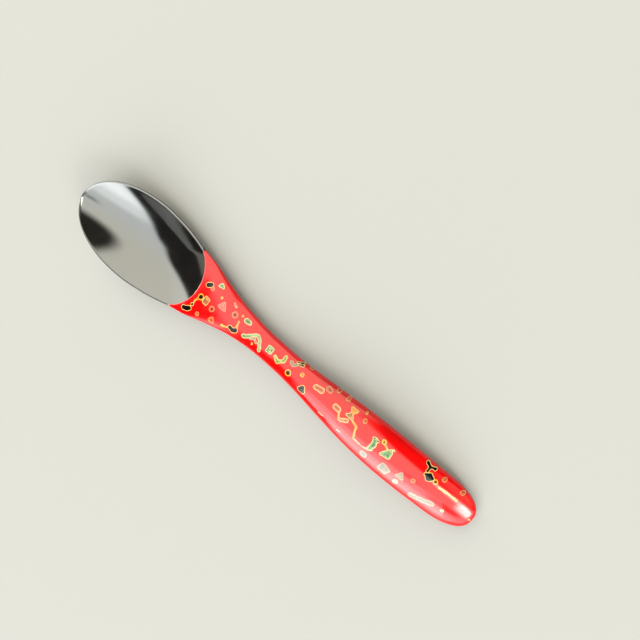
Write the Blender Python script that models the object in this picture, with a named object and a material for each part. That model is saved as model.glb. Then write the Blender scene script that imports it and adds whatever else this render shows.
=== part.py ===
"""A carved wooden spoon in lacquer: black bowl, red handle with coloured spots polished flush.

Run with: blender --background --python part.py
Everything is modelled in millimetres, and MM scales the finished meshes to metres.
"From the tip" means along the spoon, from the bowl's tip towards the handle's end.
"""

import math

import bmesh
import bpy
import numpy as np
from mathutils import Matrix, Vector

MM = 0.001

# ---------------------------------------------------------------- driving dimensions, mm
LENGTH = 185.0
BOWL_HALF_WIDTH = 17.4
BOWL_WIDEST = 30.0  # from the tip
BOWL_DEEPEST = 34.0  # from the tip
COAT = 0.5  # thickness of every lacquer coat
GAP = 0.3  # clearance between neighbouring pieces
CORE_INSET = COAT + GAP
RIM_WIDTH = 1.0  # from the outline to the edge of the hollow
HOLLOW_REAR = 59.7  # the edge of the hollow nearest the handle, from the tip
REAR_BREADTH = 20.1  # how wide the hollow's rear edge would be if it ran on round
HOLLOW_DEPTH = 7.6
END_LENGTH = 15.0  # of the rounded end of the handle
COLOUR_CHANGE = 53.5  # where the black outside ends and the red begins, from the tip

# How the outline and the heights close at the two ends: a superellipse of this length and power.
BOWL_TIP_POWER = 2.15
END_POWER = 2.5
RIM_CLOSE = 2.0
CROWN_CLOSE = 13.0
CROWN_POWER = 2.2
BOWL_BOTTOM_POWER = 1.7
HEEL_CLOSE = 6.0
ROUND = 2.0  # the power of a plain ellipse

# ---------------------------------------------------------------- the hollow of the bowl, mm
HOLLOW_CENTRE = 31.0  # from the tip
HOLLOW_TIP = 1.1  # the edge of the hollow nearest the tip
CORNER = 0.4  # how softly the rim's inner line turns into the rear edge
DECK_RISE = 0.9  # of the rim's top above the widest line of the section
HOLLOW_POWER = 2.2  # of the curve from the hollow's bottom to its edge
SLOPE_SHARE = 0.68  # the part of a coat's thickness that goes sideways at the hollow's edge
HOLLOW_REACHES = (0.28, 0.5, 0.68, 0.82, 0.92, 1.0, 1.16)  # rings, as shares of the edge
CUTTER_TOP = 24.0
CUTTER_MARGIN = 10.0
SPOT_CUT = 1.5  # how far a spot's prism stands out of the surface and into it
SHARP_ANGLE = math.radians(35)
MERGE = 0.0001  # points nearer than this are one point

# ---------------------------------------------------------------- colours, linear, and gloss
BLACK = (0.006, 0.006, 0.006)
RED = (0.72, 0.01, 0.008)
WOOD = (0.55, 0.36, 0.2)
WOOD_ROUGHNESS = 0.7
GLOSS = 0.12

# ---------------------------------------------------------------- how finely the lofts are cut
SECTION_COUNT = 24
HOLLOW_COUNT = 32
TIP_STEPS = 9
MIDDLE_STEPS = 24
END_STEPS = 6

# Each table is (distance from the tip, value); values between rows follow a smooth curve.
HALF_WIDTH = (
    (0, 17.4), (30, 17.4), (40, 16.4), (47.5, 14.9), (54, 13.1), (60, 11.9), (66, 10.0),
    (72, 8.3), (78, 6.8), (84, 5.85), (90, 5.2), (96, 4.95), (104, 4.95), (110, 5.2),
    (116, 5.7), (122, 6.35), (130, 7.05), (138, 7.7), (146, 8.05), (152, 8.15), (160, 8.05),
    (168, 7.8), (185, 7.5),
)
EDGE_HEIGHT = (
    (0, 13.4), (10, 11.9), (20, 10.4), (30, 9.05), (40, 8.0), (50, 7.3), (60, 6.9),
    (72, 6.5), (86, 5.9), (98, 6.1), (110, 6.8), (122, 7.4), (134, 8.0), (146, 7.8),
    (158, 7.0), (168, 5.8), (176, 4.5), (182, 3.4), (185, 3.1),
)
TOP_RISE = (
    (0, 1.1), (50, 1.1), (58, 1.3), (66, 2.0), (76, 2.7), (90, 3.2), (100, 3.4),
    (120, 3.9), (135, 4.3), (150, 4.3), (165, 4.0), (178, 3.3), (185, 3.0),
)
UNDERSIDE = (
    (0, -0.2), (34, -0.2), (42, 0.15), (50, 0.85), (58, 1.5), (66, 1.9), (78, 2.4),
    (90, 2.8), (104, 3.1), (118, 3.5), (130, 3.8), (142, 3.6), (152, 2.9), (160, 1.9),
    (168, 0.8), (174, 0.15), (178, -0.1), (185, -0.1),
)
TOP_SQUARENESS = ((0, 5.0), (52, 5.0), (76, 2.3), (185, 2.2))
BOTTOM_SQUARENESS = ((0, 2.0), (60, 2.0), (90, 2.2), (185, 2.2))


def smooth(table, at):
    """A monotone cubic curve through the table's rows."""
    xs = np.array([row[0] for row in table], float)
    ys = np.array([row[1] for row in table], float)
    step = np.diff(xs)
    slope = np.diff(ys) / step
    tangent = np.zeros(len(xs))
    same_way = slope[:-1] * slope[1:] > 0
    mean = (step[:-1] * slope[1:] + step[1:] * slope[:-1]) / (step[:-1] + step[1:])
    inner = np.where(same_way, slope[:-1] * slope[1:] / np.where(same_way, mean, 1.0), 0.0)
    tangent[1:-1] = inner
    tangent[0] = slope[0]
    tangent[-1] = slope[-1]
    at = float(np.clip(at, xs[0], xs[-1]))
    i = int(np.clip(np.searchsorted(xs, at, side="right") - 1, 0, len(xs) - 2))
    t = (at - xs[i]) / step[i]
    rise = step[i] * t * (1 - t)
    blend = t * t * (3 - 2 * t)
    return ys[i] + (ys[i + 1] - ys[i]) * blend + rise * ((1 - t) * tangent[i] - t * tangent[i + 1])


def rounding(distance, length, power):
    """0 at a rounded end, rising to 1 at this length from it."""
    if distance >= length:
        return 1.0
    short = 1 - max(distance, 0.0) / length
    return (1 - short**power) ** (1 / power)


def section(along, inset):
    """The spoon's cross-section: half width, widest height, rise above it, drop below it."""
    from_tip = along - inset
    from_end = LENGTH - inset - along
    edge = smooth(EDGE_HEIGHT, along)
    half = smooth(HALF_WIDTH, along) - inset
    half *= rounding(from_tip, BOWL_WIDEST - inset, BOWL_TIP_POWER)
    half *= rounding(from_end, END_LENGTH, END_POWER)
    rise = smooth(TOP_RISE, along) - inset
    rise *= rounding(from_tip, RIM_CLOSE, ROUND) * rounding(from_end, CROWN_CLOSE, CROWN_POWER)
    drop = edge - smooth(UNDERSIDE, along) - inset
    drop *= rounding(from_tip, BOWL_DEEPEST - inset, BOWL_BOTTOM_POWER)
    drop *= rounding(from_end, HEEL_CLOSE, ROUND)
    return half, edge, rise, drop


def power_wave(value, power):
    return math.copysign(abs(value) ** (2 / power), value)


def section_points(along, inset):
    """Points round a cross-section, from the +Y edge over the top."""
    half, edge, rise, drop = section(along, inset)
    points = []
    for i in range(SECTION_COUNT):
        angle = 2 * math.pi * i / SECTION_COUNT
        upper = i <= SECTION_COUNT // 2
        power = smooth(TOP_SQUARENESS if upper else BOTTOM_SQUARENESS, along)
        height = rise if upper else drop
        y = half * power_wave(math.cos(angle), power)
        z = edge + height * power_wave(math.sin(angle), power)
        points.append((along - LENGTH / 2, y, z))
    return points


def stations(inset):
    """Distances from the tip, closer together where the outline turns."""
    quarter = math.pi / 2
    front = [BOWL_WIDEST * (1 - math.cos(quarter * i / TIP_STEPS)) for i in range(TIP_STEPS)]
    middle = list(np.linspace(BOWL_WIDEST, LENGTH - END_LENGTH, MIDDLE_STEPS))
    turns = [quarter * i / END_STEPS for i in range(1, END_STEPS + 1)]
    back = [LENGTH - END_LENGTH * (1 - math.sin(turn)) for turn in turns]
    marks = np.array(front + middle + back)
    return inset + marks * (LENGTH - 2 * inset) / LENGTH


def mesh_object(name, points, faces, collection):
    mesh = bpy.data.meshes.new(name)
    mesh.from_pydata([Vector(p) for p in points], [], faces)
    mesh.validate()
    obj = bpy.data.objects.new(name, mesh)
    collection.objects.link(obj)
    work = bmesh.new()
    work.from_mesh(mesh)
    bmesh.ops.remove_doubles(work, verts=work.verts, dist=MERGE)
    bmesh.ops.recalc_face_normals(work, faces=work.faces)
    work.to_mesh(mesh)
    work.free()
    return obj


def loft_faces(rings, count):
    """Quads between the rings, whose ends are closed by a point at each end of the list."""
    faces = []
    for ring in range(rings - 1):
        for i in range(count):
            j = (i + 1) % count
            low = ring * count
            high = low + count
            faces.append((low + i, low + j, high + j, high + i))
    first = rings * count
    last = first + 1
    top = (rings - 1) * count
    for i in range(count):
        j = (i + 1) % count
        faces.append((first, j, i))
        faces.append((last, top + i, top + j))
    return faces


def body(name, inset, collection):
    """The whole spoon with its hollow not yet cut, shrunk by the inset."""
    marks = stations(inset)
    points = []
    for along in marks[1:-1]:
        points += section_points(along, inset)
    for along in (marks[0], marks[-1]):
        points.append((along - LENGTH / 2, 0.0, smooth(EDGE_HEIGHT, along)))
    faces = loft_faces(len(marks) - 2, SECTION_COUNT)
    return mesh_object(name, points, faces, collection)


# ---------------------------------------------------------------- the hollow of the bowl
def rim_line(angle):
    """How far the rim's inner line is from the hollow's centre, in this direction."""
    low = 0.0
    high = LENGTH
    halvings = 40
    for _ in range(halvings):
        reach = (low + high) / 2
        along = HOLLOW_CENTRE + reach * math.cos(angle)
        inside = reach * abs(math.sin(angle)) < section(along, 0.0)[0] - RIM_WIDTH
        low, high = (reach, high) if inside else (low, reach)
    return low


def rear_arc(angle):
    """How far the round rear edge is from the hollow's centre, in this direction."""
    ahead = math.cos(angle) / (HOLLOW_REAR - HOLLOW_CENTRE)
    aside = math.sin(angle) / REAR_BREADTH
    return 1 / math.hypot(ahead, aside)


def hollow_edge(angle):
    """The hollow's outline seen from above: (from the tip, across). Angle 0 points at the handle."""
    if math.cos(angle) < 0:
        reach = HOLLOW_CENTRE - HOLLOW_TIP
        along = HOLLOW_CENTRE + reach * power_wave(math.cos(angle), BOWL_TIP_POWER)
        half = BOWL_HALF_WIDTH - RIM_WIDTH
        return along, half * power_wave(math.sin(angle), BOWL_TIP_POWER)
    line = rim_line(angle)
    arc = rear_arc(angle)
    reach = (line + arc) / 2 - math.hypot((line - arc) / 2, CORNER) + CORNER / 4
    return HOLLOW_CENTRE + reach * math.cos(angle), reach * math.sin(angle)


def deck_height(along):
    """The height of the rim's top, where the hollow starts."""
    return smooth(EDGE_HEIGHT, along) + DECK_RISE


def hollow_point(angle, reach, growth):
    """A point of the hollow's wall, pushed outwards by the growth."""
    along, across = hollow_edge(angle)
    along = HOLLOW_CENTRE + (along - HOLLOW_CENTRE) * reach
    across *= reach
    z = deck_height(along) - HOLLOW_DEPTH * (1 - reach**HOLLOW_POWER)
    outwards = Vector((math.cos(angle) / 2, math.sin(angle))).normalized()
    sideways = SLOPE_SHARE * min(reach, 1.0)
    along += growth * sideways * outwards.x
    across += growth * sideways * outwards.y
    z -= growth * math.sqrt(1 - sideways**2)
    return along - LENGTH / 2, across, z


def hollow(name, growth, collection):
    """A solid that fills the hollow and stands above the rim, grown outwards by this much."""
    turns = [2 * math.pi * i / HOLLOW_COUNT for i in range(HOLLOW_COUNT)]
    points = [hollow_point(turn, reach, growth) for reach in HOLLOW_REACHES for turn in turns]
    bottom = deck_height(HOLLOW_CENTRE) - HOLLOW_DEPTH - growth
    points.append((HOLLOW_CENTRE - LENGTH / 2, 0.0, bottom))
    points.append((HOLLOW_CENTRE - LENGTH / 2, 0.0, CUTTER_TOP))
    faces = loft_faces(len(HOLLOW_REACHES), HOLLOW_COUNT)
    return mesh_object(name, points, faces, collection)


# ---------------------------------------------------------------- helpers
def box(name, low, high, collection):
    """A box between two corners."""
    bpy.ops.mesh.primitive_cube_add(size=1.0)
    obj = bpy.context.active_object
    obj.name = name
    for owner in list(obj.users_collection):
        owner.objects.unlink(obj)
    collection.objects.link(obj)
    low = Vector(low)
    high = Vector(high)
    obj.data.transform(Matrix.Diagonal((*(high - low), 1.0)))
    obj.data.transform(Matrix.Translation((low + high) / 2))
    return obj


def boolean(obj, operation, other):
    """Applies one Boolean to the object's mesh."""
    modifier = obj.modifiers.new(operation.lower(), "BOOLEAN")
    modifier.operation = operation
    modifier.object = other
    modifier.solver = "EXACT"
    graph = bpy.context.evaluated_depsgraph_get()
    made = bpy.data.meshes.new_from_object(obj.evaluated_get(graph))
    obj.modifiers.remove(modifier)
    old = obj.data
    obj.data = made
    bpy.data.meshes.remove(old)
    return obj


def copy_of(obj, name, collection):
    twin = obj.copy()
    twin.data = obj.data.copy()
    twin.name = name
    collection.objects.link(twin)
    return twin


def lacquer(name, colour, roughness=GLOSS):
    material = bpy.data.materials.new(name)
    material.use_nodes = True
    shader = material.node_tree.nodes["Principled BSDF"]
    shader.inputs["Base Color"].default_value = (*colour, 1.0)
    shader.inputs["Roughness"].default_value = roughness
    shader.inputs["Metallic"].default_value = 0.0
    return material


def finish(obj, material):
    obj.data.materials.clear()
    obj.data.materials.append(material)
    obj.data.shade_smooth()
    obj.data.set_sharp_from_angle(angle=SHARP_ANGLE)


# ---------------------------------------------------------------- the coloured spots
# Each spot: from the tip, across, length, width, turn in degrees, corners, colour.
# Across is +Y; corners 0 is an oval, 3 a rounded triangle, 4 a rounded square.
TOP_SPOTS = (
    (60.2, -8.9, 3.2, 2.0, 40, 0, "black"), (61.6, -6.0, 1.9, 1.6, 60, 0, "black"),
    (62.8, -1.6, 2.4, 1.9, 20, 0, "yellow"), (66.1, -1.3, 2.2, 3.0, 0, 4, "brown"),
    (65.2, -7.6, 1.7, 1.6, 0, 0, "brown"), (71.3, -5.7, 2.3, 2.2, 0, 0, "brown"),
    (69.4, -2.1, 2.2, 2.1, 0, 0, "brown"), (72.4, 1.6, 3.0, 2.6, 90, 3, "pink"),
    (70.1, 4.1, 1.8, 1.8, 0, 0, "yellow"), (63.9, 4.4, 4.2, 2.6, -25, 0, "black"),
    (67.4, 7.2, 2.6, 2.4, 200, 3, "green"), (76.3, 5.0, 2.8, 1.2, 5, 0, "yellow"),
    (78.0, 2.0, 2.6, 2.0, -30, 0, "brown"), (83.7, 3.0, 3.2, 1.8, -5, 0, "green"),
    (80.3, -2.8, 3.8, 2.2, 20, 0, "black"), (76.1, -4.2, 2.2, 1.8, 0, 3, "orange"),
    (90.0, 0.0, 7.6, 2.4, 6, 0, "green"), (96.8, 0.8, 2.6, 2.4, 10, 4, "yellow"),
    (102.0, 1.3, 3.8, 2.2, 20, 0, "green"), (106.6, 2.4, 2.4, 1.8, 30, 0, "green"),
    (107.2, -0.8, 2.0, 2.0, 0, 0, "yellow"), (109.8, 4.0, 2.0, 1.6, 20, 0, "black"),
    (111.8, 1.8, 1.6, 1.6, 0, 0, "yellow"), (114.7, -1.7, 2.8, 2.6, 90, 3, "black"),
    (119.5, 2.4, 4.2, 2.0, -3, 0, "pink"), (125.1, 6.0, 2.2, 1.4, 0, 0, "black"),
    (129.5, 6.4, 2.2, 1.6, 0, 0, "black"), (128.6, 2.2, 3.2, 2.2, -35, 0, "orange"),
    (133.0, 0.3, 4.0, 1.8, 12, 0, "yellow"), (133.7, 4.3, 3.6, 2.4, 110, 4, "orange"),
    (137.6, 0.4, 4.4, 1.7, -50, 0, "orange"), (138.4, 4.8, 1.9, 2.0, 0, 0, "orange"),
    (145.1, 0.9, 4.8, 2.4, 80, 0, "green"), (147.9, 4.0, 1.4, 1.4, 0, 0, "black"),
    (150.4, 1.4, 3.6, 3.2, 60, 3, "green"), (144.6, -4.4, 2.6, 2.2, 0, 0, "green"),
    (152.8, -3.5, 4.4, 2.8, 0, 0, "green"), (158.1, -1.6, 2.4, 2.2, 30, 3, "green"),
    (158.0, -5.0, 2.4, 1.8, 0, 0, "green"), (167.9, -3.4, 6.4, 2.1, 12, 0, "green"),
    (175.4, -2.6, 2.0, 1.6, 20, 0, "green"), (163.4, 6.6, 2.2, 1.8, 0, 4, "black"),
    (165.0, 3.4, 2.8, 2.2, 0, 4, "black"), (173.0, 2.9, 4.0, 1.6, 2, 0, "orange"),
)
UNDER_SPOTS = (
    (70.0, 3.0, 3.0, 2.2, 30, 0, "green"), (74.5, -3.5, 2.4, 2.4, 0, 3, "yellow"),
    (84.0, 1.0, 4.0, 2.0, -20, 0, "black"), (95.0, -1.0, 3.0, 2.2, 15, 4, "green"),
    (105.0, 1.2, 2.6, 2.0, 0, 0, "orange"), (116.0, -1.5, 4.4, 2.0, 10, 0, "green"),
    (127.0, 2.6, 2.8, 2.6, 45, 3, "black"), (137.0, -2.8, 3.2, 2.4, 0, 4, "yellow"),
    (146.0, 1.4, 5.0, 2.6, -15, 0, "green"), (157.0, -3.0, 3.0, 2.2, 40, 0, "orange"),
)
SPOT_SIDES = {0: 10, 3: 12, 4: 12}  # by corners: how many sides the spot's outline has
SPOT_SHARPNESS = {0: 0.0, 3: 0.16, 4: 0.09}  # by corners: how far they stand out
SPOT_COLOURS = {
    "black": (0.01, 0.008, 0.005),
    "brown": (0.28, 0.05, 0.02),
    "green": (0.25, 0.36, 0.16),
    "orange": (0.75, 0.3, 0.04),
    "pink": (0.7, 0.15, 0.1),
    "yellow": (0.8, 0.62, 0.16),
}


def surface_point(along, across, side):
    """A point of the outside, on the top (side 1) or the underside (side -1)."""
    half, edge, rise, drop = section(along, 0.0)
    power = smooth(TOP_SQUARENESS if side > 0 else BOTTOM_SQUARENESS, along)
    height = rise if side > 0 else drop
    share = (1 - min(abs(across) / half, 1.0) ** power) ** (1 / power)
    return Vector((along - LENGTH / 2, across, edge + side * height * share))


def surface_frame(along, across, side):
    """Where a spot sits: its point, the directions along and across it, and outwards."""
    step = 0.05
    here = surface_point(along, across, side)
    ahead = surface_point(along + step, across, side) - surface_point(along - step, across, side)
    aside = surface_point(along, across + step, side) - surface_point(along, across - step, side)
    outward = (ahead.cross(aside) * side).normalized()
    ahead.normalize()
    return here, ahead, outward.cross(ahead) * side, outward


def add_prism(work, spot, side, growth):
    """Adds a prism with the spot's outline, standing on the surface, to a bmesh."""
    along, across, length, width, turn, corners, _ = spot
    here, ahead, aside, outward = surface_frame(along, across, side)
    made = bmesh.ops.create_cone(
        work, cap_ends=True, segments=SPOT_SIDES[corners], radius1=1, radius2=1, depth=2 * SPOT_CUT
    )
    turn = math.radians(turn)
    for vert in made["verts"]:
        angle = math.atan2(vert.co.y, vert.co.x)
        reach = 1 + SPOT_SHARPNESS[corners] * math.cos(corners * angle)
        u = (length / 2 * reach + growth) * math.cos(angle)
        v = (width / 2 * reach + growth) * math.sin(angle)
        x = u * math.cos(turn) - v * math.sin(turn)
        y = u * math.sin(turn) + v * math.cos(turn)
        vert.co = here + ahead * x + aside * y + outward * vert.co.z


def spot_object(name, spot, side, growth, collection):
    """A prism with the spot's outline as an object of its own."""
    work = bmesh.new()
    add_prism(work, spot, side, growth)
    if work.calc_volume(signed=True) < 0:
        bmesh.ops.reverse_faces(work, faces=work.faces)
    mesh = bpy.data.meshes.new(name)
    work.to_mesh(mesh)
    work.free()
    obj = bpy.data.objects.new(name, mesh)
    collection.objects.link(obj)
    return obj


def add_spots(coat, parts, cutters):
    """Cuts a window for each spot in the red coat and puts a flush lacquer spot in it."""
    spots = [(spot, 1) for spot in TOP_SPOTS] + [(spot, -1) for spot in UNDER_SPOTS]
    materials = {name: lacquer(name + "_lacquer", value) for name, value in SPOT_COLOURS.items()}
    whole = copy_of(coat, "whole_red_coat", cutters)
    for number, (spot, side) in enumerate(spots, 1):
        plug = spot_object(f"pattern_spot_{number:02d}", spot, side, 0.0, parts)
        boolean(plug, "INTERSECT", whole)
        finish(plug, materials[spot[-1]])
        boolean(coat, "DIFFERENCE", spot_object("window", spot, side, GAP, cutters))


def main():
    for obj in list(bpy.data.objects):
        bpy.data.objects.remove(obj)
    parts = bpy.data.collections.new("lacquered_spoon")
    cutters = bpy.data.collections.new("cutters")
    bpy.context.scene.collection.children.link(parts)
    bpy.context.scene.collection.children.link(cutters)

    hollow_inner = hollow("hollow_inner", 0.0, cutters)
    hollow_lining = hollow("hollow_lining", COAT, cutters)
    hollow_core = hollow("hollow_core", CORE_INSET, cutters)
    wide = BOWL_HALF_WIDTH + CUTTER_MARGIN
    long = LENGTH / 2 + CUTTER_MARGIN
    split = COLOUR_CHANGE - LENGTH / 2
    below = box("below_table", (-long, -wide, -CUTTER_MARGIN), (long, wide, 0), cutters)
    rear_low = (split + GAP / 2, -wide, -CUTTER_MARGIN)
    rear = box("red_side", rear_low, (long, wide, CUTTER_TOP), cutters)
    front_low = (-long, -wide, -CUTTER_MARGIN)
    front = box("black_side", front_low, (split - GAP / 2, wide, CUTTER_TOP), cutters)

    core = body("wood_core", CORE_INSET, parts)
    boolean(core, "DIFFERENCE", hollow_core)

    lining = copy_of(hollow_lining, "bowl_inner_coat", parts)
    outside = body("outside", 0.0, cutters)
    boolean(lining, "INTERSECT", outside)
    boolean(lining, "DIFFERENCE", hollow_inner)

    skin = body("skin", 0.0, cutters)
    skin_inside = body("skin_inside", COAT, cutters)
    boolean(skin, "DIFFERENCE", skin_inside)
    boolean(skin, "DIFFERENCE", hollow_core)
    boolean(skin, "DIFFERENCE", below)
    outer = copy_of(skin, "bowl_outer_coat", parts)
    boolean(outer, "INTERSECT", front)
    red = copy_of(skin, "handle_red_coat", parts)
    boolean(red, "INTERSECT", rear)
    add_spots(red, parts, cutters)

    finish(core, lacquer("wood", WOOD, WOOD_ROUGHNESS))
    finish(lining, lacquer("black_lacquer_inside", BLACK))
    finish(outer, lacquer("black_lacquer_outside", BLACK))
    finish(red, lacquer("red_lacquer", RED))

    for obj in list(parts.objects) + list(cutters.objects):
        obj.data.transform(Matrix.Scale(MM, 4))
    for obj in cutters.objects:
        obj.hide_render = True
        obj.display_type = "WIRE"
    cutters.hide_render = True


main()
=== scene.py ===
"""The lacquered spoon's looks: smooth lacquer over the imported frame, with its contour-ringed spots.

The spoon's shapes are worked out in millimetres, and MM turns them into metres. The lights, the camera
and the floor are in metres.
"From the tip" means along the spoon, from the bowl's tip towards the handle's end.
"""

import math

import bmesh
import bpy
import numpy as np
from mathutils import Matrix, Vector

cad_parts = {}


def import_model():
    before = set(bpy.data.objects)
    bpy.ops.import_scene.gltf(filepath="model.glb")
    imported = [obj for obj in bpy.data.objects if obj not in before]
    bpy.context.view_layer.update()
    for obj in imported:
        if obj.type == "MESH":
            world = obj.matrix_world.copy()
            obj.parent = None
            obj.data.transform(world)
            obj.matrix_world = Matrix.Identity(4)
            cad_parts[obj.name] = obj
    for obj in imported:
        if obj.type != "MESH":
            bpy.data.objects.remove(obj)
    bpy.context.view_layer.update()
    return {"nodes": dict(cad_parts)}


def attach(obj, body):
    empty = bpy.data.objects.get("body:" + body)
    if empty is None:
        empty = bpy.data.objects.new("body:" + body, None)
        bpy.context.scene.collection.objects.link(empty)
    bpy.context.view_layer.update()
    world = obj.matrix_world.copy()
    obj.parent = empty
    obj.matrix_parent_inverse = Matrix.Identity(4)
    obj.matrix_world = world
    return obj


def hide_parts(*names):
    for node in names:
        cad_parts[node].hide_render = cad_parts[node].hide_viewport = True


MM = 0.001
TINY = 1e-6

# ---------------------------------------------------------------- the spoon's shape, as in the CAD part, mm
LENGTH = 185.0
BOWL_WIDEST = 30.0  # from the tip
BOWL_DEEPEST = 34.0  # from the tip
END_LENGTH = 15.0  # of the rounded end of the handle
RIM_WIDTH = 1.0  # from the outline to the edge of the hollow
HOLLOW_REAR = 59.7  # the edge of the hollow nearest the handle, from the tip
REAR_BREADTH = 20.1  # how wide the hollow's rear edge would be if it ran on round
HOLLOW_DEPTH = 7.6
HOLLOW_CENTRE = 31.0  # from the tip
HOLLOW_POWER = 2.2  # of the curve from the hollow's bottom to its edge
CORNER = 0.4  # how softly the rim's inner line turns into the rear edge
REAR_COSINE = 0.3  # directions nearer the handle's than this can meet the hollow's rear edge
DECK_RISE = 0.9  # of the rim's top above the widest line of the section
COLOUR_CHANGE = 53.5  # where the black outside ends and the red begins, from the tip

# How the outline and the heights close at the two ends: a superellipse of this length and power.
BOWL_TIP_POWER = 2.15
END_POWER = 2.5
RIM_CLOSE = 2.0
CROWN_CLOSE = 13.0
CROWN_POWER = 2.2
BOWL_BOTTOM_POWER = 1.7
HEEL_CLOSE = 6.0
ROUND = 2.0  # the power of a plain ellipse

# Each table is (distance from the tip, value); values between rows follow a smooth curve.
HALF_WIDTH = (
    (0, 17.4), (30, 17.4), (40, 16.4), (47.5, 14.9), (54, 13.1), (60, 11.9), (66, 10.0),
    (72, 8.3), (78, 6.8), (84, 5.85), (90, 5.2), (96, 4.95), (104, 4.95), (110, 5.2),
    (116, 5.7), (122, 6.35), (130, 7.05), (138, 7.7), (146, 8.05), (152, 8.15), (160, 8.05),
    (168, 7.8), (185, 7.5),
)
EDGE_HEIGHT = (
    (0, 13.4), (10, 11.9), (20, 10.4), (30, 9.05), (40, 8.0), (50, 7.3), (60, 6.9),
    (72, 6.5), (86, 5.9), (98, 6.1), (110, 6.8), (122, 7.4), (134, 8.0), (146, 7.8),
    (158, 7.0), (168, 5.8), (176, 4.5), (182, 3.4), (185, 3.1),
)
TOP_RISE = (
    (0, 1.1), (50, 1.1), (58, 1.3), (66, 2.0), (76, 2.7), (90, 3.2), (100, 3.4),
    (120, 3.9), (135, 4.3), (150, 4.3), (165, 4.0), (178, 3.3), (185, 3.0),
)
UNDERSIDE = (
    (0, -0.2), (34, -0.2), (42, 0.15), (50, 0.85), (58, 1.5), (66, 1.9), (78, 2.4),
    (90, 2.8), (104, 3.1), (118, 3.5), (130, 3.8), (142, 3.6), (152, 2.9), (160, 1.9),
    (168, 0.8), (174, 0.15), (178, -0.1), (185, -0.1),
)
TOP_SQUARENESS = ((0, 5.0), (52, 5.0), (76, 2.3), (185, 2.2))
BOTTOM_SQUARENESS = ((0, 2.0), (60, 2.0), (90, 2.2), (185, 2.2))

FARTHEST = 60.0  # from the hollow's centre; a line that runs down the handle is cut off here
HALVINGS = 44  # of that distance, to find where the outline is


def smooth(table, at):
    """A monotone cubic curve through the table's rows, at one distance or at many."""
    xs = np.array([row[0] for row in table], float)
    ys = np.array([row[1] for row in table], float)
    step = np.diff(xs)
    slope = np.diff(ys) / step
    same_way = slope[:-1] * slope[1:] > 0
    mean = (step[:-1] * slope[1:] + step[1:] * slope[:-1]) / (step[:-1] + step[1:])
    inner = np.where(same_way, slope[:-1] * slope[1:] / np.where(same_way, mean, 1.0), 0.0)
    tangent = np.concatenate([slope[:1], inner, slope[-1:]])
    at = np.clip(np.asarray(at, float), xs[0], xs[-1])
    i = np.clip(np.searchsorted(xs, at, side="right") - 1, 0, len(xs) - 2)
    t = (at - xs[i]) / step[i]
    rise = step[i] * t * (1 - t)
    blend = t * t * (3 - 2 * t)
    return ys[i] + (ys[i + 1] - ys[i]) * blend + rise * ((1 - t) * tangent[i] - t * tangent[i + 1])


def rounding(distance, length, power):
    """0 at a rounded end, rising to 1 at this length from it."""
    short = np.clip(1 - np.maximum(distance, 0.0) / length, 0.0, 1.0)
    return (1 - short**power) ** (1 / power)


def section(along):
    """The cross-section there: half width, widest height, rise above it, drop below it."""
    along = np.asarray(along, float)
    from_end = LENGTH - along
    edge = smooth(EDGE_HEIGHT, along)
    half = smooth(HALF_WIDTH, along)
    half = half * rounding(along, BOWL_WIDEST, BOWL_TIP_POWER) * rounding(from_end, END_LENGTH, END_POWER)
    rise = smooth(TOP_RISE, along)
    rise = rise * rounding(along, RIM_CLOSE, ROUND) * rounding(from_end, CROWN_CLOSE, CROWN_POWER)
    drop = edge - smooth(UNDERSIDE, along)
    drop = drop * rounding(along, BOWL_DEEPEST, BOWL_BOTTOM_POWER) * rounding(from_end, HEEL_CLOSE, ROUND)
    return half, edge, rise, drop


def outside_height(along, across, upper):
    """The height of the outside there, on the top or on the underside."""
    half, edge, rise, drop = section(along)
    power = smooth(TOP_SQUARENESS if upper else BOTTOM_SQUARENESS, along)
    share = np.clip(np.abs(across) / np.maximum(half, TINY), 0.0, 1.0)
    share = (1 - share**power) ** (1 / power)
    if upper:
        return edge + rise * share
    return np.maximum(edge - drop * share, 0.0)


def reach_of(angles, margin):
    """How far the outline, less the margin, is from the hollow's centre in each direction."""
    low = np.zeros_like(angles)
    high = np.full_like(angles, FARTHEST)
    for _ in range(HALVINGS):
        middle = (low + high) / 2
        half = section(HOLLOW_CENTRE + middle * np.cos(angles))[0] - margin
        inside = middle * np.abs(np.sin(angles)) < half
        low = np.where(inside, middle, low)
        high = np.where(inside, high, middle)
    return low


def hollow_reach(angles):
    """How far the hollow's edge is from its centre in each direction. Angle 0 points at the handle."""
    line = reach_of(angles, RIM_WIDTH)
    arc = 1 / np.hypot(np.cos(angles) / (HOLLOW_REAR - HOLLOW_CENTRE), np.sin(angles) / REAR_BREADTH)
    rear = (line + arc) / 2 - np.hypot((line - arc) / 2, CORNER) + CORNER / 4
    return np.where(np.cos(angles) > REAR_COSINE, rear, line)


def mesh_piece(name, points, faces, material):
    """A mesh of one material, from points in millimetres."""
    mesh = bpy.data.meshes.new(name)
    mesh.from_pydata([tuple(p) for p in np.asarray(points) * MM], [], faces)
    mesh.validate()
    obj = bpy.data.objects.new(name, mesh)
    bpy.context.scene.collection.objects.link(obj)
    obj.data.materials.append(material)
    return obj


# ---------------------------------------------------------------- the black bowl, mm
REAR_COLUMNS = 41  # round the bowl, where the red begins
FRONT_COLUMNS = 151  # round the rest of it
INNER_RINGS = 44
RIM_RINGS = 9
OUTER_RINGS = 44
LACQUER = 0.35  # thickness of the visible skins
SHARP_ANGLE = math.radians(50)
MERGE = 0.004  # points nearer than this are one point
SHORTEST_EDGE = 0.002
LIP = 0.16  # how far the hollow's edge lies below the deck it rounds over to
LIP_POWER = 8  # of the turn inside the hollow's edge
LIP_BREADTH = 0.3  # of the turn on the deck side
RIM_LEAN = 0.32  # the rim's curve leaves the hollow's edge this share of the rim outwards
RIM_UP = 0.3  # and this far up
RIM_DOWN = 0.75  # and it comes down on the outline from this far above it


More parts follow.
